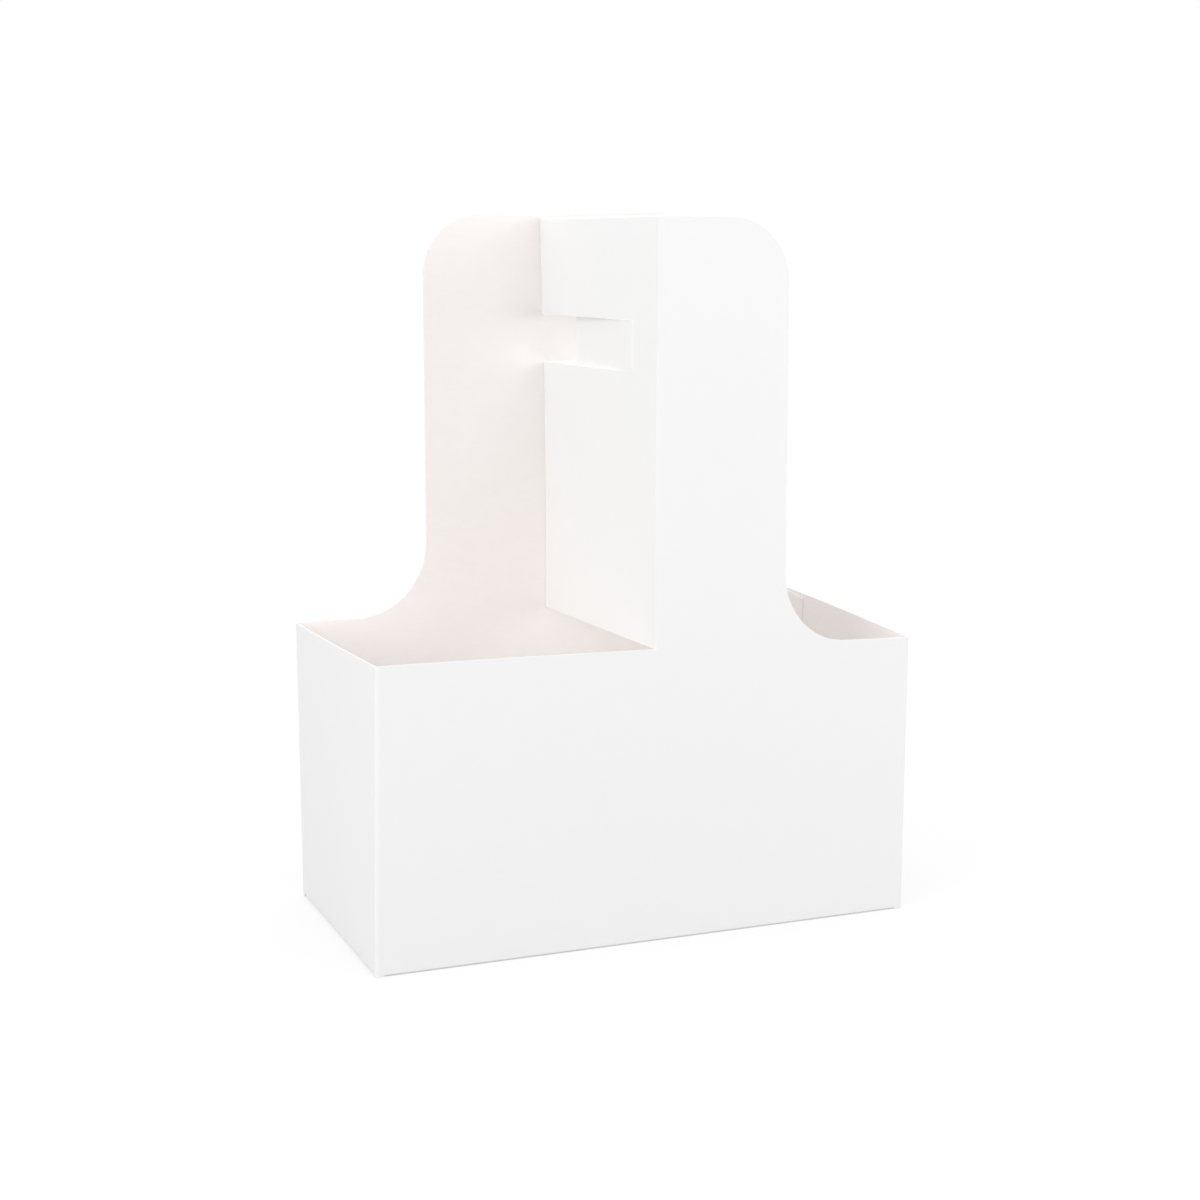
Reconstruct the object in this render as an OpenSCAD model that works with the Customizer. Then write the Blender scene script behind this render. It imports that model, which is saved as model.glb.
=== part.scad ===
// Cup carrier for two cups, folded from one die-cut sheet of white paperboard.
// The front lies at -Y and the back at +Y. The origin is at the bottom centre.
// The front sheet rises at the right and the back sheet at the left, and each
// turns inward at the middle of its wall. The two inner halves are glued face to
// face as the divider, so the handle has the plan of a letter Z.

/* [Board] */
// Thickness of the paperboard
board_t = 0.5; // [0.3:0.05:0.8]
// Inside radius of every fold
fold_in_r = 0.4; // [0.3:0.1:1.2]
// Clearance along a cut edge that faces another panel
cut_gap = 0.3; // [0.2:0.1:0.8]

/* [Carton] */
// Length of the front and back walls
carton_l = 200; // [170:1:240]
// Depth from the front wall to the back wall
carton_d = 102; // [95:1:125]
// Height of the four walls
wall_h = 104; // [80:1:130]

/* [Handle] */
// Height of the front sheet above the rim
handle_rise = 147; // [130:1:170]
// Height by which the back sheet stands above the front sheet
back_lift = 1.2; // [0.4:0.2:3]
// Width of each wing, from the divider to its outer edge
wing_w = 49; // [40:1:60]
// Radius of each wing's top corner
wing_corner_r = 22; // [10:1:30]
// Radius between the front wing and the rim
front_fillet_r = 24; // [10:1:32]
// Radius between the back wing and the rim
back_fillet_r = 28; // [10:1:32]

/* [Hand slot] */
// Length of the slot, from the back fold to the crease of its door
slot_l = 81; // [60:1:85]
// Height of the slot
slot_h = 18; // [14:1:24]
// Height of the slot's lower edge above the rim
slot_rise = 94; // [60:1:100]
// Length of the tongue that stays in line with the back wing
tongue_l = 27; // [12:1:40]
// Angle by which the door stands off the divider
door_angle = 3; // [1:1:20]
// Length by which the back sheet's slot passes the door's crease
crease_relief = 4; // [2:0.5:8]

/* [Glue flap] */
// Width of the flap glued inside the right wall
glue_flap_w = 20; // [12:1:30]
// Distance of the glue flap's ends from the rim and the floor
glue_flap_drop = 0.5; // [0.5:0.5:8]
// Slant of the glue flap's ends
glue_flap_slant = 1.5; // [1:0.5:10]

/* [Bottom] */
// Length of the two side flaps, which lie inside
side_flap_l = 62; // [40:1:75]
// Distance of every bottom flap's root from the carton's corners
flap_inset = 3; // [2:0.5:6]
// Slant of the bottom flaps' edges
flap_slant = 12; // [4:1:18]
// Distance of the two straight stretches of the lock seam from the middle
lock_step = 14; // [6:1:25]
// Half length of the slanted middle stretch of the lock seam
lock_run = 10; // [4:1:20]
// Width of the lock seam
seam_gap = 0.8; // [0.4:0.1:1.5]

/* [Hidden] */
$fn = 96;

half_l = carton_l / 2;
half_d = carton_d / 2;
fold_r = fold_in_r + board_t;
// The four walls start above the folds of the two bottom layers
walls_z = fold_r + 2 * board_t;
// The walls reach into the feet of the bottom flaps by this much
foot_lap = board_t / 2;
// Each inner half stops short of the wing opposite it
layer_l = carton_d - fold_r - cut_gap;
hinge_y = half_d - slot_l;
slot_z = wall_h + slot_rise;
leaf_z = slot_z + cut_gap;
leaf_h = slot_h - 2 * cut_gap;
door_l = slot_l - tongue_l - cut_gap;
// The wing turns into the divider past this place
turn_x = board_t - fold_r;
// A cutter passes the face that it cuts by this much
cut_over = 1;

// A quarter turn of the board in plan, with the outer faces meeting at the origin
module fold_plan() {
    translate([-fold_r, -fold_r])
        intersection() {
            difference() {
                circle(r = fold_r);
                circle(r = fold_in_r);
            }
            square(fold_r);
        }
}

// Two legs of board joined by one fold
module angle_plan(leg_x, leg_y) {
    fold_plan();
    translate([-leg_x, -board_t])
        square([leg_x - fold_r, board_t]);
    translate([-board_t, -leg_y])
        square([board_t, leg_y - fold_r]);
}

module rounded_plan(l, d, r) {
    square([l - 2 * r, d], center = true);
    square([l, d - 2 * r], center = true);
    for (sx = [-1, 1], sy = [-1, 1])
        translate([sx * (l / 2 - r), sy * (d / 2 - r)])
            circle(r = r);
}

// What a round corner takes off a square one, which lies at the origin
module corner_waste(r) {
    difference() {
        square(r);
        translate([r, r])
            circle(r = r);
    }
}

// Stands a drawing of width and height in the plane of the back wall
module on_back_wall(thickness) {
    translate([0, half_d, 0])
        rotate([90, 0, 0])
            linear_extrude(height = thickness)
                children();
}

// The four walls seen from above. At the back right corner the right wall ends in
// a cut edge, short of the fold of the back wall's glue flap
module walls_plan() {
    seam_x = half_l - board_t;
    seam_y = half_d - fold_r - cut_gap;
    difference() {
        rounded_plan(carton_l, carton_d, fold_r);
        rounded_plan(carton_l - 2 * board_t, carton_d - 2 * board_t, fold_in_r);
        translate([seam_x - fold_r, seam_y])
            square(fold_r + board_t + cut_gap + cut_over);
    }
    translate([seam_x, half_d])
        fold_plan();
}

// The straight stretches of the four walls seen from above
module wall_runs() {
    intersection() {
        walls_plan();
        union() {
            square([carton_l - 2 * (fold_r + board_t), carton_d + cut_over], center = true);
            square([carton_l + cut_over, carton_d - 2 * (fold_r + cut_gap)], center = true);
        }
    }
}

// The straight stretches reach down into the feet of the bottom flaps
module walls() {
    translate([0, 0, walls_z])
        linear_extrude(height = wall_h - walls_z)
            walls_plan();
    translate([0, 0, walls_z - foot_lap])
        linear_extrude(height = wall_h - walls_z + foot_lap)
            wall_runs();
}

// A bottom flap with its fold and the foot of its wall, for the wall at -Y. The
// strip is bent as a whole and then cut to the outline, which starts and ends at
// the flap's root
module bottom_flap(wall_y, run, flap_l, flap_z, outline) {
    side_x = run / 2 + cut_over;
    near_y = -wall_y - cut_over;
    root_y = -wall_y + fold_r;
    intersection() {
        translate([-run / 2, -wall_y, flap_z])
            rotate([90, 0, 90])
                linear_extrude(height = run)
                    rotate(180)
                        angle_plan(flap_l + cut_over, walls_z - flap_z);
        translate([0, 0, -cut_over])
            linear_extrude(height = walls_z + 2 * cut_over)
                polygon(concat(
                    [[-side_x, root_y], [-side_x, near_y], [side_x, near_y], [side_x, root_y]],
                    outline
                ));
    }
}

// The front wall's bottom flap, whose far edge is half of the lock seam
module lock_flap() {
    root_x = half_l - flap_inset;
    tip_x = root_x - flap_slant;
    root_y = -half_d + fold_r;
    far_y = lock_step - seam_gap / 2;
    near_y = -lock_step - seam_gap / 2;
    bottom_flap(half_d, carton_l - 2 * fold_r, half_d + far_y, 0, [
        [root_x, root_y],
        [tip_x, near_y],
        [lock_run, near_y],
        [-lock_run, far_y],
        [-tip_x, far_y],
        [-root_x, root_y]
    ]);
}

// A side wall's bottom flap, which lies on the two lock flaps
module side_flap() {
    root_x = half_d - flap_inset;
    tip_x = root_x - flap_slant;
    root_y = -half_l + fold_r;
    tip_y = -half_l + side_flap_l;
    bottom_flap(half_l, carton_d - 2 * fold_r, side_flap_l, board_t, [
        [root_x, root_y],
        [tip_x, tip_y],
        [-tip_x, tip_y],
        [-root_x, root_y]
    ]);
}

module bottom() {
    for (turn = [0, 180])
        rotate(turn) {
            lock_flap();
            rotate(-90)
                side_flap();
        }
}

// The back wall's end flap, glued to the inner face of the right wall
module glue_flap() {
    root_y = half_d - fold_r;
    tip_y = root_y - glue_flap_w;
    low_z = walls_z + glue_flap_drop;
    high_z = wall_h - glue_flap_drop;
    translate([half_l - 2 * board_t, 0, 0])
        rotate([90, 0, 90])
            linear_extrude(height = board_t)
                polygon([
                    [root_y, low_z],
                    [root_y, high_z],
                    [tip_y, high_z - glue_flap_slant],
                    [tip_y, low_z + glue_flap_slant]
                ]);
}

// One wing with its inner half, drawn for the back wall's left side
module wing_sheet(rise, fillet_r) {
    difference() {
        translate([board_t, half_d, wall_h])
            linear_extrude(height = rise)
                angle_plan(wing_w + board_t, layer_l);
        translate([0, cut_over, 0])
            on_back_wall(board_t + 2 * cut_over)
                translate([-wing_w, wall_h + rise])
                    mirror([0, 1])
                        corner_waste(wing_corner_r);
    }
    on_back_wall(board_t)
        translate([-wing_w, wall_h])
            mirror([1, 0])
                corner_waste(fillet_r);
}

module back_sheet() {
    difference() {
        wing_sheet(handle_rise + back_lift, back_fillet_r);
        translate([turn_x, hinge_y - crease_relief, slot_z])
            cube([fold_r + cut_over, slot_l + crease_relief + cut_over, slot_h]);
    }
    translate([turn_x, half_d - board_t, leaf_z])
        cube([tongue_l - turn_x, board_t, leaf_h]);
}

module front_sheet() {
    difference() {
        rotate(180)
            wing_sheet(handle_rise, front_fillet_r);
        translate([-board_t - cut_over, hinge_y, slot_z])
            cube([board_t + 2 * cut_over, slot_l, slot_h]);
    }
    slot_door();
}

// The front sheet's leaf in the slot, bent off the divider along its crease
module slot_door() {
    reach = door_l * [sin(door_angle), cos(door_angle)];
    crease = [0, hinge_y];
    outer_crease = crease - [board_t, 0];
    translate([0, 0, leaf_z])
        linear_extrude(height = leaf_h)
            polygon([outer_crease, crease, crease + reach, outer_crease + reach]);
}

module carrier() {
    color("white") {
        walls();
        bottom();
        glue_flap();
        back_sheet();
        front_sheet();
    }
}

carrier();
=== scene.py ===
"""A cup carrier folded from one sheet of white paperboard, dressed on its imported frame."""
import math

import bmesh
import bpy
import numpy as np
from bpy.props import FloatProperty, FloatVectorProperty, PointerProperty
from bpy.types import Operator, Panel, PropertyGroup
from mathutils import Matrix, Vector


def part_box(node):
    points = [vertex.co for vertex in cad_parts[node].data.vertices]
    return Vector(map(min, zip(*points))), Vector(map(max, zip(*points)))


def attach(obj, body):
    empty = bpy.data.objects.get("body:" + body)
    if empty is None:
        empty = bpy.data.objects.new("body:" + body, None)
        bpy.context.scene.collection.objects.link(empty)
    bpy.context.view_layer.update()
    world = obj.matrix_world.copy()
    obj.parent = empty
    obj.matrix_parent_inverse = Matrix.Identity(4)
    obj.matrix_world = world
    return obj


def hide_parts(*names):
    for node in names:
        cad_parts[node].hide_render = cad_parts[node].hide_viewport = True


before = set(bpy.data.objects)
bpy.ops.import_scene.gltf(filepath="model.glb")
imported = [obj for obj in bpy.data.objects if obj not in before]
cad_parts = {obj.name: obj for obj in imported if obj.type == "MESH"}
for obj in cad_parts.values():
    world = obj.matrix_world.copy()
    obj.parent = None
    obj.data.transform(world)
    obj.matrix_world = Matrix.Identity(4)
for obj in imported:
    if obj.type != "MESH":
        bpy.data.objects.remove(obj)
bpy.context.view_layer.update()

bl_info = {
    "name": "Folded cup carrier",
    "version": (1, 0, 0),
    "blender": (4, 5, 0),
    "location": "View3D > Sidebar > Carrier",
    "description": "Folds a paperboard cup carrier and sets it on a pale stage",
    "category": "Object",
}

NODE = "carrier"
BODY = "root"
MM = 0.001
HIGH = np.array(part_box(NODE)[1])

# Grid of the surface

# Stations nearer than this are one station
NEAR = 0.001 * MM
# Points nearer than this are welded into one
WELD = 0.02 * MM
# Steps round a fold
FOLD_STEPS = 6
# Rows from a bottom flap's tip to its root
FLAP_ROWS = 13
# Rows round a wing's fillet or corner
ROUND_ROWS = 19
# Columns across the bead beside the door's crease
BEAD_COLUMNS = 7
# Columns where a divider half's free edge rides up
LIFT_COLUMNS = 4
# Edges sharper than this are not smoothed over
SHARP_ANGLE = math.radians(40)

# Spread of the board's give

# A wall's bow grows with this power of the height
BOW_POWER = 1.5
# Share of the handle's height over which a wall's bow dies out
BOW_FADE = 0.5
# Share of the right half over which the right end's spread grows
SPREAD_RUN = 0.5
# Share of the right half where the glued end starts to stand out and rise
SEAM_START = 0.6
# Share of the handle's height over which a wing's bulge grows
BULGE_RISE = 0.625
# Largest value of s (1 - s) squared, which lies at a third
BULGE_PEAK = 4 / 27

# Texture of the board

# Cells in each metre of the formation, the fibres and the tooth, and their detail
CLOUD_SCALE, CLOUD_DETAIL = 140.0, 4.0
FIBRE_SCALE, FIBRE_DETAIL = 900.0, 3.0
TOOTH_SCALE, TOOTH_DETAIL = 3200.0, 2.0
# The fibres are drawn out along the level axes
FIBRE_DRAW = (0.3, 0.3, 1.0)
# How the tooth breaks up the paler fold mark, partly cracked coating and partly painted highlight, and
# its mean strength
CRUMB_GAIN, CRUMB_MEAN = 2.0, 0.7
# What fibres and cracks add to the roughness, and fibres to the height
FIBRE_ROUGH, CRACK_ROUGH = 0.3, 0.2
FIBRE_HEIGHT = 0.8
# Depth of the relief
RELIEF = 0.05 * MM


# Settings

def length(name, description, millimetres):
    """A length setting, given in millimetres and kept in metres."""
    return FloatProperty(name=name, description=description, default=millimetres * MM,
                         min=0.0, precision=5, unit="LENGTH")


def colour(name, description, value):
    """A linear colour setting."""
    return FloatVectorProperty(name=name, description=description, default=value,
                               min=0.0, max=1.0, size=3, subtype="COLOR")


def angle(name, description, degrees):
    """An angle setting, given in degrees."""
    return FloatProperty(name=name, description=description, default=math.radians(degrees),
                         subtype="ANGLE")


def factor(name, description, value):
    """A share from 0 to 1."""
    return FloatProperty(name=name, description=description, default=value,
                         min=0.0, max=1.0, subtype="FACTOR")


def place(name, description, value):
    """A place setting, in metres."""
    return FloatVectorProperty(name=name, description=description, default=value,
                               size=3, subtype="XYZ", unit="LENGTH")


def watts(name, description, value):
    """A lamp's power."""
    return FloatProperty(name=name, description=description, default=value,
                         min=0.0, subtype="POWER")


class BoardSizes(PropertyGroup):
    """Sizes of the sheet and of its walls"""
    board: length("Board", "Thickness of the paperboard", 0.5)
    fold: length("Fold radius", "Inside radius of every fold", 0.4)
    gap: length("Cut gap", "Clearance along a cut edge that faces another panel", 0.3)
    wall_h: length("Wall height", "Height of the four walls", 104)
    cell: length("Grid cell", "Longest side of a cell of the surface grid", 3)
    guard: length("Guard strip", "Width of the flat strip that is kept beside each fold", 0.6)


class RelaxedShape(PropertyGroup):
    """How far the folded board has moved from its flat panels"""
    wall_bow: length("Wall bow", "How far the middle of a wall's rim stands out", 0.6)
    left_spread: length("Left spread", "How far the front wall's left end stands out at the floor", 1.8)
    left_tuck: length("Left tuck", "How far the back wall's left end stands in at the floor", 0.5)
    right_spread: length("Right spread", "How far the front wall's right end stands out at the rim", 0.7)
    seam_spread: length("Seam spread", "How far the right wall's glued end stands out at the rim", 1.2)
    rim_rise: length("Rim rise", "How far the front wall's rim rises at its left end", 1.05)
    rim_drop: length("Rim drop", "How far the front wall's rim sinks at its right end", 2.6)
    seam_rise: length("Seam rise", "How far the right wall's rim rises at its glued end", 3.2)
    back_lean: length("Back lean", "How far the back fold leans to the left at its top", 2.4)
    front_lean: length("Front lean", "How far the front fold leans to the right at its top", 1.2)
    tilt: length("Tilt", "How far the handle's top rises at the back and sinks at the front", 0.8)
    back_wing_bow: length("Back wing bow", "How far the back wing bulges to the front", 2.8)
    front_wing_bow: length("Front wing bow", "How far the front wing bulges to the front", 0.6)


class HandleSizes(PropertyGroup):
    """Sizes of the wings, the divider and the hand slot"""
    wing_w: length("Wing width", "From the divider to a wing's outer edge", 49)
    corner: length("Wing corner", "Radius of a wing's top corner", 22)
    front_fillet: length("Front fillet", "Radius between the front wing and the rim", 24)
    back_fillet: length("Back fillet", "Radius between the back wing and the rim", 28)
    lift: length("Back lift", "Height of the back sheet above the front sheet", 1.2)
    slot_l: length("Slot length", "From the back fold to the door's crease", 81)
    slot_h: length("Slot height", "Height of the hand slot", 18)
    slot_rise: length("Slot rise", "Height of the slot above the rim", 94)
    tongue: length("Tongue", "Length of the leaf in line with the back wing", 27)
    relief: length("Crease relief", "How far the back sheet's slot passes the crease", 4)
    edge_gap: length("Edge gap", "From a divider half's free edge to the other sheet's wing", 0.1)
    edge_lift: length("Edge lift", "How far that edge rides up on the other sheet's fold", 0.15)
    bead: length("Crease bead", "Height of the bead beside the door's crease", 0.15)
    bead_w: length("Bead width", "Width of that bead", 1.8)
    door_angle: angle("Door angle", "Turn of the door off the divider", 3)
    door_curl: factor("Door curl", "Share of the turn gained from the crease to the free edge", 0.4)


class FlapSizes(PropertyGroup):
    """Sizes of the glued flap and the bottom flaps"""
    glue_w: length("Glue flap", "Width of the flap inside the right wall", 20)
    glue_slant: length("Glue flap slant", "Slant of the glue flap's ends", 2)
    side_l: length("Side flap", "Length of each side flap of the bottom", 62)
    inset: length("Flap inset", "From a bottom flap's root to the carton's corner", 3)
    slant: length("Flap slant", "Slant of the bottom flaps' edges", 12)
    lock_step: length("Lock step", "From the lock seam to the middle", 14)
    lock_run: length("Lock run", "Half length of the seam's slanted stretch", 10)
    seam: length("Seam", "Width of the lock seam", 0.8)


class BoardFinish(PropertyGroup):
    """Colours of the board"""
    coated: colour("Coated face", "Outer face of the board", (0.905, 0.905, 0.905))
    inner: colour("Inner face", "Uncoated inner face of the board", (0.94, 0.90, 0.88))
    edge: colour("Cut edge", "Bare fibre along a cut", (0.93, 0.925, 0.915))


class StageSettings(PropertyGroup):
    """Camera, floor and light"""
    eye: place("Eye", "Place of the camera", (-0.2896, -0.6901, 0.2293))
    heading: angle("Heading", "Turn of the camera towards the right", 22.81)
    pitch: angle("Pitch", "Tilt of the camera below the level", 8.77)
    lens: FloatProperty(name="Lens", description="Focal length on a 36 mm frame",
                        default=62.24, subtype="DISTANCE_CAMERA")
    sky: FloatProperty(name="Sky", description="Strength of the even light all round",
                       default=1.145, min=0.0)
    floor: colour("Floor", "The floor as it is seen", (0.86, 0.86, 0.86))
    bounce: colour("Bounce", "The floor as it throws light back on the carrier", (0.3, 0.3, 0.3))
    key: watts("Key", "Soft lamp at the front left", 5.5)
    key_place: place("Key place", "Place of the key", (-1.26, -0.65, 0.7))
    fill: watts("Fill", "Low soft lamp at the front right", 4.4)
    fill_place: place("Fill place", "Place of the fill", (0.9, -1.1, 0.3))
    lamp_w: length("Lamp", "Side of each soft lamp", 900)
    floor_w: length("Floor width", "Side of the floor", 6000)
    fade_near: length("Fade start", "Distance at which the floor starts to turn plain white", 100)
    fade_far: length("Fade end", "Distance at which the floor is plain white", 450)
    fade_share: factor("Fade share", "How far the floor is plain white under the carrier", 0.7)
    aim: place("Aim", "Place that the lamps face", (0.0, 0.0, 0.11))


# Grids

def spaced(start, end, step):
    """Stations from start to end, evenly spaced and no further apart than step."""
    count = max(1, math.ceil((abs(end - start) - NEAR) / step))
    return np.linspace(start, end, count + 1)


def joined(*groups):
    """All stations of the groups in rising order, with those that nearly meet kept once."""
    stations = np.unique(np.concatenate([np.atleast_1d(group) for group in groups]))
    return stations[np.concatenate([[True], np.diff(stations) > NEAR])]


def within(values, low, high):
    """True for the values from low to high."""
    return (values > low - NEAR) & (values < high + NEAR)


def between(stations, low, high):
    """The stations that lie from low to high."""
    return stations[within(stations, low, high)]


def quarter(first):
    """Cosines and sines of a quarter turn that starts at the angle first, in degrees."""
    turn = np.radians(np.linspace(first, first + 90, FOLD_STEPS + 1))
    return np.cos(turn), np.sin(turn)


def spin(points, degrees):
    """The points turned about the vertical."""
    turn = math.radians(degrees)
    matrix = np.array([[math.cos(turn), -math.sin(turn), 0],
                       [math.sin(turn), math.cos(turn), 0],
                       [0, 0, 1]])
    return points @ matrix.T


def raised(plan, heights):
    """A grid of points: the plan's points along the columns, the heights along the rows."""
    rows, cols = len(heights), len(plan)
    points = np.empty((rows, cols, 3))
    points[:, :, :2] = plan[None, :, :]
    points[:, :, 2] = heights[:, None]
    return points


def smooth(value):
    """A step from 0 to 1 that starts and ends level."""
    value = np.clip(value, 0, 1)
    return value * value * (3 - 2 * value)


class Sheet:
    """The folded board as patches of quads, which meet along shared points."""

    def __init__(self):
        self.points = []
        self.faces = []
        self.creases = []
        self.count = 0

    def add(self, points, keep=None, crease=None):
        """Adds a grid of points. keep says which cells stay, crease which points lie on a fold."""
        rows, cols = points.shape[:2]
        index = self.count + np.arange(rows * cols).reshape(rows, cols)
        quads = np.stack([index[:-1, :-1], index[:-1, 1:], index[1:, 1:], index[1:, :-1]], axis=-1)
        if keep is not None:
            quads = quads[keep]
        self.points.append(points.reshape(-1, 3))
        self.faces.append(quads.reshape(-1, 4))
        mark = np.zeros((rows, cols)) if crease is None else np.broadcast_to(crease, (rows, cols))
        self.creases.append(mark.reshape(-1))
        self.count += rows * cols


class Layout:
    """Places that several panels share, worked out from the settings in metres."""

    def __init__(self, board, relaxed, handle, flaps):
        self.board, self.relaxed, self.handle, self.flaps = board, relaxed, handle, flaps
        self.t = board.board
        self.half_l = HIGH[0]
        self.half_d = HIGH[1]
        self.mid_x = self.half_l - self.t / 2
        self.mid_y = self.half_d - self.t / 2
        self.r = board.fold + self.t / 2
        self.rim = board.wall_h
        self.lock_z = self.t / 2
        self.side_z = self.lock_z + self.t
        self.foot = self.side_z + self.r
        self.back_top = HIGH[2]
        self.front_top = self.back_top - handle.lift
        self.turn_x = self.r - self.t / 2
        self.hinge_y = self.half_d - handle.slot_l
        self.slot_low = self.rim + handle.slot_rise
        self.slot_high = self.slot_low + handle.slot_h
        self.leaf_low = self.slot_low + board.gap
        self.leaf_high = self.slot_high - board.gap
        self.lock_root = self.half_l - flaps.inset
        self.lock_tip = self.lock_root - flaps.slant
        self.side_root = self.half_d - flaps.inset
        self.side_tip = self.side_root - flaps.slant

    def wall_stations(self, reach, root, extra):
        """Stations along a wall of half length reach, with guards beside its two folds."""
        guard = reach - self.board.guard
        coarse = spaced(-guard, guard, self.board.cell)
        fixed = np.concatenate([[-reach, reach, -root, root], extra])
        near = np.abs(coarse[:, None] - fixed[None, :]).min(axis=1) < self.board.guard
        return joined(coarse[~near], fixed, [-guard, guard])

    def long_stations(self, fillet):
        """Stations along the front or back wall, with those where its wing and lock begin."""
        reach = self.mid_x - self.r
        knee = self.flaps.lock_run * self.lock_root / self.lock_tip
        wing_end = self.handle.wing_w + fillet
        extra = [self.turn_x, self.turn_x + self.board.guard, wing_end, -knee, knee]
        return self.wall_stations(reach, self.lock_root, extra)

    def side_stations(self):
        """Stations along the left or right wall."""
        return self.wall_stations(self.mid_y - self.r, self.side_root, [])


# Panels

def wall_plan(lay):
    """The strip of walls seen from above, from the glue flap round to the right wall's free edge.

    Each wall is a straight run of stations and each fold is a quarter circle. The glue flap lies
    one board thickness inside the right wall, whose free edge stops a gap short of the flap's
    fold. Returns the plan, its mark of the folds, and how many of its points lie on the glue flap.
    """
    r, t = lay.r, lay.t
    x, y = lay.mid_x - r, lay.mid_y - r
    back = lay.long_stations(lay.handle.back_fillet)
    front = lay.long_stations(lay.handle.front_fillet)
    side = lay.side_stations()
    flap = spaced(y - lay.flaps.glue_w, y, lay.board.cell)
    runs = []

    def run(xs, ys, fold):
        """Adds a run of stations to the plan."""
        xs, ys = np.broadcast_arrays(np.asarray(xs, float), np.asarray(ys, float))
        runs.append((np.stack([xs, ys], axis=-1), fold))

    def corner(cx, cy, first):
        """Adds a fold about the centre (cx, cy)."""
        cos, sin = quarter(first)
        run(cx + r * cos, cy + r * sin, 1.0)

    run(lay.mid_x - t, flap, 0.0)
    corner(x - t, y, 0)
    back_run = -back
    back_run[0] = x - t
    run(back_run, lay.mid_y, 0.0)
    corner(-x, y, 90)
    run(-lay.mid_x, -side, 0.0)
    corner(-x, -y, 180)
    run(front, -lay.mid_y, 0.0)
    corner(x, -y, 270)
    right = side.copy()
    right[-1] -= lay.board.gap
    run(lay.mid_x, right, 0.0)

    plan = np.concatenate([points for points, fold in runs])
    crease = np.concatenate([np.full(len(points), fold) for points, fold in runs])
    fresh = np.concatenate([[True], np.linalg.norm(np.diff(plan, axis=0), axis=1) > NEAR])
    return plan[fresh], crease[fresh], len(flap)


def add_walls(sheet, lay):
    """The four walls and the glue flap: the plan carried straight up from the foot to the rim.

    The glue flap's ends are slanted: its heights shrink towards the middle in step with the
    distance from its fold.
    """
    plan, crease, first_fold = wall_plan(lay)
    heights = spaced(lay.foot, lay.rim, lay.board.cell)
    points = raised(plan, heights)
    out = np.clip((lay.mid_y - lay.r - plan[:first_fold, 1]) / lay.flaps.glue_w, 0, 1)
    middle = (lay.foot + lay.rim) / 2
    shrink = 1 - out * lay.flaps.glue_slant / (lay.rim - middle)
    points[:, :first_fold, 2] = middle + (heights[:, None] - middle) * shrink[None, :]
    sheet.add(points, crease=crease[None, :])


def add_corner_skirts(sheet, lay):
    """The short stretches of wall between two bottom flaps, carried from the foot to the floor."""
    plan, crease, first_fold = wall_plan(lay)
    middle = np.abs(plan[:-1] + plan[1:]) / 2
    corner = (middle[:, 0] > lay.lock_root) & (middle[:, 1] > lay.side_root)
    corner[:first_fold - 1] = False
    heights = np.array([lay.lock_z, lay.foot])
    sheet.add(raised(plan, heights), keep=corner[None, :], crease=crease[None, :])


def flap_grid(lay, along, wall_y, floor_z, tip_scale, tip_y):
    """A bottom flap drawn for the wall at -Y, with rows from its tip up to the wall's foot.

    The profile drops down the wall, turns through a quarter circle and runs inward. Each column
    leans towards the middle as tip_scale says, and ends at its own tip_y.
    """
    r = lay.r
    inward = np.linspace(1, 0, FLAP_ROWS)
    root_y = -wall_y + r
    ys = root_y + inward[:, None] * (tip_y[None, :] - root_y)
    xs = along[None, :] * (1 + inward[:, None] * (tip_scale - 1))
    flat = np.stack([xs, ys, np.full_like(xs, floor_z)], axis=-1)
    cos, sin = quarter(0)
    turn_y = -wall_y + r * (1 - cos[::-1][1:])
    turn_z = floor_z + r * (1 - sin[::-1][1:])
    turn = np.empty((len(turn_y), len(along), 3))
    turn[:, :, 0] = along[None, :]
    turn[:, :, 1] = turn_y[:, None]
    turn[:, :, 2] = turn_z[:, None]
    rows = [flat, turn]
    if lay.foot - (floor_z + r) > NEAR:
        foot = np.stack([along, np.full_like(along, -wall_y), np.full_like(along, lay.foot)],
                        axis=-1)
        rows.append(foot[None])
    crease = np.concatenate([np.zeros(len(flat) - 1), np.ones(len(turn) + 1),
                             np.zeros(len(rows) - 2)])
    return np.concatenate(rows), crease[:, None]


def add_bottom(sheet, lay):
    """Two lock flaps that meet along a stepped seam, and two side flaps on top of them.

    The seam is level on either side of the middle and slants between its two knees.
    """
    flaps = lay.flaps
    seam_x = [-flaps.lock_run, flaps.lock_run]
    seam_y = [flaps.lock_step - flaps.seam / 2, -flaps.lock_step - flaps.seam / 2]
    for degrees, fillet in ((0, lay.handle.front_fillet), (180, lay.handle.back_fillet)):
        along = between(lay.long_stations(fillet), -lay.lock_root, lay.lock_root)
        scale = lay.lock_tip / lay.lock_root
        tip_y = np.interp(along * scale, seam_x, seam_y)
        grid, crease = flap_grid(lay, along, lay.mid_y, lay.lock_z, scale, tip_y)
        sheet.add(spin(grid, degrees), crease=crease)
    for degrees in (90, -90):
        along = between(lay.side_stations(), -lay.side_root, lay.side_root)
        scale = lay.side_tip / lay.side_root
        tip_y = np.full_like(along, -lay.half_l + flaps.side_l)
        grid, crease = flap_grid(lay, along, lay.mid_x, lay.side_z, scale, tip_y)
        sheet.add(spin(grid, degrees), crease=crease)


def wing_edge(lay, heights, top, fillet):
    """How far the wing reaches at each height: a fillet, a straight edge and a round corner."""
    corner = lay.handle.corner
    up = np.clip(fillet - (heights - lay.rim), 0, fillet)
    down = np.clip(corner - (top - heights), 0, corner)
    flare = fillet - np.sqrt(np.maximum(fillet ** 2 - up ** 2, 0))
    trim = corner - np.sqrt(np.maximum(corner ** 2 - down ** 2, 0))
    return lay.handle.wing_w + flare - trim


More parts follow.
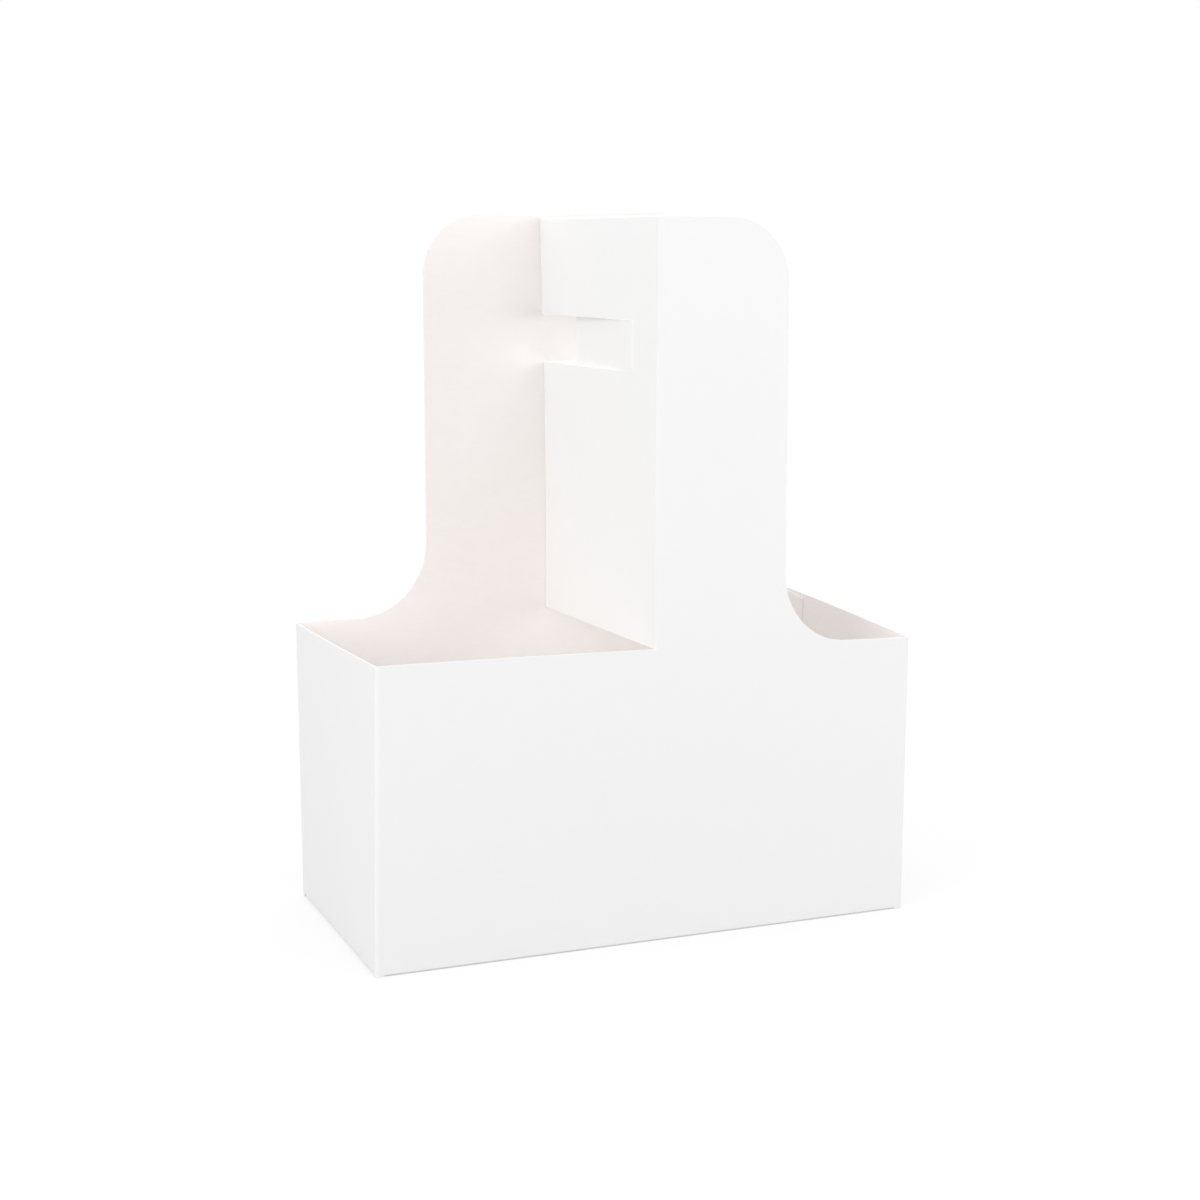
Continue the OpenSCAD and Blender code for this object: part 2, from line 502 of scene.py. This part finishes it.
def handle_heights(lay, top, fillet):
    """Heights of a handle sheet's rows, close together where its edge is round."""
    bend = 1 - np.cos(np.radians(np.linspace(0, 90, ROUND_ROWS)))
    low = lay.rim + fillet * bend
    high = top - lay.handle.corner * bend
    plain = spaced(low[-1], high[-1], lay.board.cell)
    fixed = np.array([lay.slot_low, lay.leaf_low, lay.leaf_high, lay.slot_high])
    near = np.abs(plain[:, None] - fixed[None, :]).min(axis=1) < lay.board.guard
    return joined(low, high, plain[~near], fixed)


def handle_grid(lay, top, fillet, stops):
    """A wing with its half of the divider, drawn for the front wall.

    Columns run from the inner half's free edge through the fold to the wing's outer edge, with
    one at each of the stops. The free edge rides up a little on the other sheet's fold. The wing's
    columns keep their share of its width at every height. Returns the points, the heights of the
    rows, and the number of columns before the wing.
    """
    r = lay.r
    guard = lay.board.guard
    heights = handle_heights(lay, top, fillet)
    free_y = lay.half_d - lay.t - lay.handle.edge_gap
    lift_y = free_y - guard
    fold_y = -lay.mid_y + r
    inner_y = joined(spaced(fold_y, lift_y, lay.board.cell), [fold_y + guard], stops,
                     spaced(lift_y, free_y, guard / LIFT_COLUMNS))[::-1]
    inner_x = -lay.t / 2 - lay.handle.edge_lift * smooth((inner_y - lift_y) / guard)
    inner = np.stack([inner_x, inner_y], axis=-1)
    cos, sin = quarter(180)
    arc = np.stack([lay.turn_x + r * cos, fold_y + r * sin], axis=-1)
    base = between(lay.long_stations(fillet), lay.turn_x, lay.handle.wing_w + fillet)
    share = (base - base[0]) / (base[-1] - base[0])
    reach = wing_edge(lay, heights, top, fillet)
    wing = np.empty((len(heights), len(base), 3))
    wing[:, :, 0] = lay.turn_x + share[None, :] * (reach[:, None] - lay.turn_x)
    wing[:, :, 1] = -lay.mid_y
    wing[:, :, 2] = heights[:, None]
    plan = np.concatenate([inner, arc[1:-1]])
    points = np.concatenate([raised(plan, heights), wing], axis=1)
    return points, heights, len(plan)


def cell_middles(points):
    """The middle of each cell of a grid of points."""
    return (points[:-1, :-1] + points[1:, 1:]) / 2


def leaf_heights(lay, heights):
    """The rows of a handle sheet that its leaf in the slot shares."""
    return between(heights, lay.leaf_low, lay.leaf_high)


def add_front_sheet(sheet, lay):
    """The right wing, its half of the divider with an open-ended slot, and the door in that slot.

    Beside the door's crease the divider has a low bead, half a sine wave across. The door leaves
    the divider along the crease and curls a little more towards its free edge.
    """
    guard = lay.board.guard
    stops = lay.hinge_y - np.linspace(0, lay.handle.bead_w, BEAD_COLUMNS)
    points, heights, _ = handle_grid(lay, lay.front_top, lay.handle.front_fillet, stops)
    across = lay.hinge_y - points[..., 1]
    bead = (across > NEAR) & (across < lay.handle.bead_w - NEAR) & (points[..., 0] < 0)
    bead &= within(points[..., 2], lay.leaf_low, lay.leaf_high)
    wave = np.sin(np.pi * across / lay.handle.bead_w)
    points[..., 0] -= np.where(bead, lay.handle.bead * wave, 0)
    middle = cell_middles(points)
    slot = (middle[..., 2] > lay.slot_low) & (middle[..., 2] < lay.slot_high)
    slot &= (middle[..., 1] > lay.hinge_y)
    # The bead is marked as a fold, so the coated face is painted paler along it: a painted highlight
    # beside the door's crease
    sheet.add(points, keep=~slot, crease=bead)

    door_l = lay.handle.slot_l - lay.handle.tongue - lay.board.gap
    out = joined(spaced(0, door_l, lay.board.cell), [guard])
    curl = 1 + lay.handle.door_curl * (out / door_l - 0.5)
    turn = lay.handle.door_angle * np.minimum(out / guard, 1) * curl
    step = np.diff(out, prepend=0)
    plan = np.stack([-lay.t / 2 + np.cumsum(np.sin(turn) * step),
                     lay.hinge_y + np.cumsum(np.cos(turn) * step)], axis=-1)[::-1]
    # The door's strip by its crease is marked as a fold and so painted a little paler: a painted
    # highlight along the crease
    mark = (out < guard / 2)[::-1].astype(float)
    sheet.add(raised(plan, leaf_heights(lay, heights)), crease=mark[None, :])


def add_back_sheet(sheet, lay):
    """The left wing, its half of the divider with a slot, and the tongue in line with the wing."""
    slot_end = -lay.hinge_y + lay.handle.relief
    points, heights, wing_start = handle_grid(lay, lay.back_top, lay.handle.back_fillet, [slot_end])
    middle = cell_middles(points)
    slot = (middle[..., 2] > lay.slot_low) & (middle[..., 2] < lay.slot_high)
    slot &= (middle[..., 1] < slot_end)
    slot[:, wing_start:] = False
    sheet.add(spin(points, 180), keep=~slot)

    along = spaced(-lay.handle.tongue, lay.turn_x, lay.board.cell)
    plan = np.stack([along, np.full_like(along, -lay.mid_y)], axis=-1)
    sheet.add(spin(raised(plan, leaf_heights(lay, heights)), 180))


# Relaxed shape

def bulge(span):
    """A bulge from 0 at a fold to 0 a span away, 1 at a third of it, and opposite past the fold."""
    span = np.clip(span, -1, 1)
    return span * (1 - np.abs(span)) ** 2 / BULGE_PEAK


def settled(points, lay):
    """The points moved as folded board relaxes, all layers alike.

    A wall bows outward by a half cosine along it, which grows from the floor to the rim and dies
    out above it. At the floor the front wall's left end stands out and the back wall's stands in.
    At the rim the front wall's right end and the right wall's glued end stand out. The front
    wall's rim follows a parabola from its raised left end to its sunk right end, and the right
    wall's rim climbs to its glued end. Above the rim the back fold leans left and the front fold
    right with the square of the height, the top tilts, and each wing bulges beside its fold.
    """
    relaxed = lay.relaxed
    x, y, z = points.T
    up = np.clip(z / lay.rim, 0, 1)
    high = np.clip((z - lay.rim) / (lay.back_top - lay.rim), 0, 1)
    back = np.clip((y + lay.half_d) / (2 * lay.half_d), 0, 1)
    front = 1 - back
    side = np.clip(x / lay.half_l, -1, 1)
    seam_end = smooth((side - SEAM_START) / (1 - SEAM_START)) * back
    moved = points.copy()

    grow = relaxed.wall_bow * up ** BOW_POWER * (1 - smooth(high / BOW_FADE))
    moved[:, 0] += grow * np.cos(np.pi * np.clip(y / lay.half_d, -1, 1) / 2) * side
    moved[:, 1] += grow * np.cos(np.pi * side / 2) * y / lay.half_d

    skew = relaxed.left_spread * front - relaxed.left_tuck * back
    moved[:, 0] -= skew * np.maximum(-side, 0) * (1 - up)
    moved[:, 0] += relaxed.right_spread * front * smooth(side / SPREAD_RUN) * up
    moved[:, 0] += relaxed.seam_spread * seam_end * up
    rim_line = (-side * (relaxed.rim_rise + relaxed.rim_drop)
                + side ** 2 * (relaxed.rim_rise - relaxed.rim_drop)) / 2
    moved[:, 2] += (rim_line * front + relaxed.seam_rise * seam_end) * up * (1 - high)

    span = x / lay.handle.wing_w
    moved[:, 0] -= relaxed.back_lean * high ** 2 * back * np.clip(1 + span, 0, 1)
    moved[:, 0] += relaxed.front_lean * high ** 2 * front * np.clip(1 - span, 0, 1)
    moved[:, 2] += relaxed.tilt * high * (back - front)
    rise = smooth(high / BULGE_RISE)
    moved[:, 1] += relaxed.back_wing_bow * rise * back * bulge(span)
    moved[:, 1] -= relaxed.front_wing_bow * rise * front * bulge(np.maximum(span, 0))
    return moved


# Mesh

def folded_board(lay):
    """The whole folded sheet as one solid mesh: its middle surface, thickened to both sides."""
    sheet = Sheet()
    add_walls(sheet, lay)
    add_corner_skirts(sheet, lay)
    add_bottom(sheet, lay)
    add_front_sheet(sheet, lay)
    add_back_sheet(sheet, lay)
    points = settled(np.concatenate(sheet.points), lay)
    faces = np.concatenate(sheet.faces)

    used, faces = np.unique(faces, return_inverse=True)
    surface = bpy.data.meshes.new("carrier_surface")
    surface.from_pydata(points[used], [], faces.reshape(-1, 4))
    # Fold mark; on the coated face it makes the folds paler, partly cracked coating and partly a painted
    # highlight
    mark = surface.attributes.new("crease", "FLOAT", "POINT")
    mark.data.foreach_set("value", np.concatenate(sheet.creases)[used])
    flat = bmesh.new()
    flat.from_mesh(surface)
    bmesh.ops.remove_doubles(flat, verts=flat.verts, dist=WELD)
    flat.to_mesh(surface)
    flat.free()

    draft = bpy.data.objects.new("carrier_draft", surface)
    bpy.context.collection.objects.link(draft)
    # Places that stay empty here, for the finishes of the outer face, the inner face and the edge
    for _ in ("outer", "inner", "edge"):
        surface.materials.append(None)
    solid = draft.modifiers.new("board", "SOLIDIFY")
    solid.thickness = lay.t
    solid.offset = 0
    solid.use_even_offset = True
    solid.material_offset = 1
    solid.material_offset_rim = 2
    graph = bpy.context.evaluated_depsgraph_get()
    mesh = bpy.data.meshes.new_from_object(draft.evaluated_get(graph))
    bpy.data.objects.remove(draft)
    bpy.data.meshes.remove(surface)
    mesh.name = "folded_carrier"
    mesh.polygons.foreach_set("use_smooth", np.ones(len(mesh.polygons), bool))
    mesh.set_sharp_from_angle(angle=SHARP_ANGLE)
    return mesh


# Finishes

def group_socket(group, name, kind, default=None, output=False):
    """A named input or output of a node group."""
    side = "OUTPUT" if output else "INPUT"
    socket = group.interface.new_socket(name, in_out=side, socket_type=kind)
    if default is not None:
        socket.default_value = default


def add_math(group, operation, first, second=None, third=None):
    """A math node in the group. Each input is a socket or a plain number. Returns its output."""
    node = group.nodes.new("ShaderNodeMath")
    node.operation = operation
    for index, value in enumerate((first, second, third)):
        if isinstance(value, bpy.types.NodeSocket):
            group.links.new(value, node.inputs[index])
        elif value is not None:
            node.inputs[index].default_value = value
    return node.outputs[0]


def add_noise(group, coords, scale, detail, stretch=None):
    """Noise on Object coordinates, centred on zero. stretch draws it out along an axis."""
    if stretch is not None:
        mapping = group.nodes.new("ShaderNodeMapping")
        mapping.inputs["Scale"].default_value = stretch
        group.links.new(coords, mapping.inputs["Vector"])
        coords = mapping.outputs["Vector"]
    noise = group.nodes.new("ShaderNodeTexNoise")
    noise.inputs["Scale"].default_value = scale
    noise.inputs["Detail"].default_value = detail
    group.links.new(coords, noise.inputs["Vector"])
    return add_math(group, "SUBTRACT", noise.outputs["Fac"], 0.5)


def fibre_group():
    """Shared look of paperboard.

    A cloudy formation and short fibres drawn out along the sheet change the tone, the roughness
    and the height. The fibres run level, as the sheet's grain does. On the folds the tone is a
    little paler, partly from cracked coating and partly as a painted highlight along each fold,
    and the cracked coating is rougher.
    """
    group = bpy.data.node_groups.new("board_fibre", "ShaderNodeTree")
    group_socket(group, "Color", "NodeSocketColor", (0.9, 0.9, 0.9, 1))
    group_socket(group, "Roughness", "NodeSocketFloat", 0.6)
    group_socket(group, "Cloud", "NodeSocketFloat", 0.02)
    group_socket(group, "Fibre", "NodeSocketFloat", 0.02)
    group_socket(group, "Crack", "NodeSocketFloat", 0.02)
    group_socket(group, "Color", "NodeSocketColor", output=True)
    group_socket(group, "Roughness", "NodeSocketFloat", output=True)
    group_socket(group, "Height", "NodeSocketFloat", output=True)
    entry = group.nodes.new("NodeGroupInput").outputs
    leave = group.nodes.new("NodeGroupOutput").inputs
    coords = group.nodes.new("ShaderNodeTexCoord").outputs["Object"]

    cloud = add_noise(group, coords, CLOUD_SCALE, CLOUD_DETAIL)
    fibre = add_noise(group, coords, FIBRE_SCALE, FIBRE_DETAIL, stretch=FIBRE_DRAW)
    tooth = add_noise(group, coords, TOOTH_SCALE, TOOTH_DETAIL)
    mark = group.nodes.new("ShaderNodeAttribute")
    mark.attribute_name = "crease"
    crumb = add_math(group, "MULTIPLY_ADD", tooth, CRUMB_GAIN, CRUMB_MEAN)
    # Fold mark: its paler tone is partly cracked coating and partly a painted highlight along the folds;
    # its roughness is the cracked coating
    crack_and_highlight = add_math(group, "MULTIPLY", mark.outputs["Fac"], crumb)

    tone = add_math(group, "MULTIPLY_ADD", cloud, entry["Cloud"], 1.0)
    tone = add_math(group, "MULTIPLY_ADD", fibre, entry["Fibre"], tone)
    # Folds get a paler tone here, partly cracked coating and partly a painted highlight
    tone = add_math(group, "MULTIPLY_ADD", crack_and_highlight, entry["Crack"], tone)
    shade = group.nodes.new("ShaderNodeVectorMath")
    shade.operation = "SCALE"
    group.links.new(entry["Color"], shade.inputs[0])
    group.links.new(tone, shade.inputs["Scale"])
    group.links.new(shade.outputs["Vector"], leave["Color"])

    rough = add_math(group, "MULTIPLY_ADD", fibre, FIBRE_ROUGH, entry["Roughness"])
    rough = add_math(group, "MULTIPLY_ADD", crack_and_highlight, CRACK_ROUGH, rough)
    group.links.new(rough, leave["Roughness"])
    height = add_math(group, "MULTIPLY_ADD", fibre, FIBRE_HEIGHT, tooth)
    group.links.new(height, leave["Height"])
    return group


def board_face(name, group, tint, roughness, specular, cloud, fibre, crack_and_highlight, bump):
    """One face of the board: the fibre group feeds the tone, the roughness and the bump."""
    material = bpy.data.materials.new(name)
    material.use_nodes = True
    material.diffuse_color = (*tint, 1)
    nodes, links = material.node_tree.nodes, material.node_tree.links
    shader = nodes["Principled BSDF"]
    shader.inputs["Specular IOR Level"].default_value = specular
    look = nodes.new("ShaderNodeGroup")
    look.node_tree = group
    look.inputs["Color"].default_value = (*tint, 1)
    look.inputs["Roughness"].default_value = roughness
    look.inputs["Cloud"].default_value = cloud
    look.inputs["Fibre"].default_value = fibre
    look.inputs["Crack"].default_value = crack_and_highlight
    relief = nodes.new("ShaderNodeBump")
    relief.inputs["Strength"].default_value = bump
    relief.inputs["Distance"].default_value = RELIEF
    links.new(look.outputs["Height"], relief.inputs["Height"])
    links.new(look.outputs["Color"], shader.inputs["Base Color"])
    links.new(look.outputs["Roughness"], shader.inputs["Roughness"])
    links.new(relief.outputs["Normal"], shader.inputs["Normal"])
    return material


# Stage

def seen_rays(tree):
    """One for the rays that show the background: to the camera, and in gloss and clear pieces."""
    path = tree.nodes.new("ShaderNodeLightPath").outputs
    mirrored = add_math(tree, "MAXIMUM", path["Is Glossy Ray"], path["Is Transmission Ray"])
    return add_math(tree, "MAXIMUM", path["Is Camera Ray"], mirrored)


def white_world(scene, strength):
    """Even light all round, which the camera sees as plain white."""
    world = bpy.data.worlds.new("pale_room")
    world.use_nodes = True
    scene.world = world
    nodes, links = world.node_tree.nodes, world.node_tree.links
    light = nodes["Background"]
    light.inputs["Color"].default_value = (1, 1, 1, 1)
    light.inputs["Strength"].default_value = strength
    seen = nodes.new("ShaderNodeBackground")
    seen.inputs["Color"].default_value = (1, 1, 1, 1)
    seen.inputs["Strength"].default_value = 1.0
    mix = nodes.new("ShaderNodeMixShader")
    links.new(seen_rays(world.node_tree), mix.inputs["Fac"])
    links.new(light.outputs[0], mix.inputs[1])
    links.new(seen.outputs[0], mix.inputs[2])
    links.new(mix.outputs[0], nodes["World Output"].inputs["Surface"])


def white_floor(context, stage):
    """A wide pale floor, which throws little light back.

    To the camera it turns plain white away from the carrier's faint shadow.
    """
    half = stage.floor_w / 2
    mesh = bpy.data.meshes.new("floor")
    mesh.from_pydata([(-half, -half, 0), (half, -half, 0), (half, half, 0), (-half, half, 0)],
                     [], [(0, 1, 2, 3)])
    floor = bpy.data.objects.new("floor", mesh)
    context.collection.objects.link(floor)
    material = bpy.data.materials.new("pale_floor")
    material.use_nodes = True
    nodes, links = material.node_tree.nodes, material.node_tree.links
    seen = seen_rays(material.node_tree)
    tint = nodes.new("ShaderNodeMix")
    tint.data_type = "RGBA"
    tint.inputs["A"].default_value = (*stage.bounce, 1)
    tint.inputs["B"].default_value = (*stage.floor, 1)
    links.new(seen, tint.inputs["Factor"])
    plain = nodes["Principled BSDF"]
    plain.inputs["Roughness"].default_value = 0.9
    plain.inputs["Specular IOR Level"].default_value = 0.0
    links.new(tint.outputs["Result"], plain.inputs["Base Color"])
    glow = nodes.new("ShaderNodeEmission")
    glow.inputs["Strength"].default_value = 1.0
    away = nodes.new("ShaderNodeVectorMath")
    away.operation = "LENGTH"
    links.new(nodes.new("ShaderNodeTexCoord").outputs["Object"], away.inputs[0])
    fade = nodes.new("ShaderNodeMapRange")
    fade.interpolation_type = "SMOOTHSTEP"
    fade.inputs["From Min"].default_value = stage.fade_near
    fade.inputs["From Max"].default_value = stage.fade_far
    fade.inputs["To Min"].default_value = stage.fade_share
    links.new(away.outputs["Value"], fade.inputs["Value"])
    white = add_math(material.node_tree, "MULTIPLY", seen, fade.outputs["Result"])
    mix = nodes.new("ShaderNodeMixShader")
    links.new(white, mix.inputs["Fac"])
    links.new(plain.outputs[0], mix.inputs[1])
    links.new(glow.outputs[0], mix.inputs[2])
    links.new(mix.outputs[0], nodes["Material Output"].inputs["Surface"])
    mesh.materials.append(material)


def soft_lamp(context, stage, name):
    """A square soft lamp that faces the middle of the carrier."""
    data = bpy.data.lights.new(name, "AREA")
    data.shape = "SQUARE"
    data.size = stage.lamp_w
    data.energy = getattr(stage, name)
    lamp = bpy.data.objects.new(name, data)
    lamp.location = getattr(stage, f"{name}_place")
    aim = Vector(stage.aim) - lamp.location
    lamp.rotation_euler = aim.to_track_quat("-Z", "Y").to_euler()
    context.collection.objects.link(lamp)


def photo_camera(context, stage):
    """The camera at the photograph's place, found from the carton's corners."""
    data = bpy.data.cameras.new("camera")
    data.lens = stage.lens
    data.sensor_width = 36.0
    data.clip_start = 0.01
    camera = bpy.data.objects.new("camera", data)
    camera.location = stage.eye
    camera.rotation_euler = (math.radians(90) - stage.pitch, 0, -stage.heading)
    context.collection.objects.link(camera)
    context.scene.camera = camera


# Operators

class CARRIER_OT_fold_board(Operator):
    """Fold the carrier from one sheet, in place of its plain solid"""
    bl_idname = "carrier.fold_board"
    bl_label = "Fold the board"

    def execute(self, context):
        scene = context.scene
        lay = Layout(scene.carrier_board, scene.carrier_relaxed,
                     scene.carrier_handle, scene.carrier_flaps)
        finish = scene.carrier_finish
        mesh = folded_board(lay)
        fibre = fibre_group()
        # On the coated face the folds are painted paler: partly cracked coating, partly a painted
        # highlight along each fold
        mesh.materials[0] = board_face("coated_face", fibre, finish.coated,
                                       roughness=0.5, specular=0.35,
                                       cloud=0.015, fibre=0.01, crack_and_highlight=0.05, bump=0.15)
        mesh.materials[1] = board_face("inner_face", fibre, finish.inner,
                                       roughness=0.8, specular=0.2,
                                       cloud=0.03, fibre=0.035, crack_and_highlight=0.0, bump=0.4)
        mesh.materials[2] = board_face("cut_edge", fibre, finish.edge,
                                       roughness=0.9, specular=0.15,
                                       cloud=0.05, fibre=0.1, crack_and_highlight=0.0, bump=0.6)
        carrier = bpy.data.objects.new("folded_carrier", mesh)
        context.collection.objects.link(carrier)
        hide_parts(NODE)
        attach(carrier, BODY)
        return {"FINISHED"}


class CARRIER_OT_set_stage(Operator):
    """Set the floor, the light and the camera"""
    bl_idname = "carrier.set_stage"
    bl_label = "Set the stage"

    def execute(self, context):
        stage = context.scene.carrier_stage
        context.scene.view_settings.view_transform = "Standard"
        white_world(context.scene, stage.sky)
        white_floor(context, stage)
        for name in ("key", "fill"):
            soft_lamp(context, stage, name)
        photo_camera(context, stage)
        return {"FINISHED"}


# Panel and registration

class CARRIER_PT_panel(Panel):
    """The steps that make the carrier, in order"""
    bl_idname = "CARRIER_PT_panel"
    bl_label = "Cup carrier"
    bl_space_type = "VIEW_3D"
    bl_region_type = "UI"
    bl_category = "Carrier"

    def draw(self, context):
        for operator in OPERATORS:
            self.layout.operator(operator.bl_idname)


SETTINGS = {
    "carrier_board": BoardSizes,
    "carrier_relaxed": RelaxedShape,
    "carrier_handle": HandleSizes,
    "carrier_flaps": FlapSizes,
    "carrier_finish": BoardFinish,
    "carrier_stage": StageSettings,
}
OPERATORS = (CARRIER_OT_fold_board, CARRIER_OT_set_stage)


def register():
    """Adds the settings, the operators and the panel."""
    for name, group in SETTINGS.items():
        bpy.utils.register_class(group)
        setattr(bpy.types.Scene, name, PointerProperty(type=group))
    for cls in (*OPERATORS, CARRIER_PT_panel):
        bpy.utils.register_class(cls)


def unregister():
    """Takes away what register adds."""
    for cls in (CARRIER_PT_panel, *reversed(OPERATORS)):
        bpy.utils.unregister_class(cls)
    for name, group in SETTINGS.items():
        delattr(bpy.types.Scene, name)
        bpy.utils.unregister_class(group)


def main():
    """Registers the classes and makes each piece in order."""
    register()
    bpy.ops.carrier.fold_board()
    bpy.ops.carrier.set_stage()


if __name__ == "__main__":
    main()
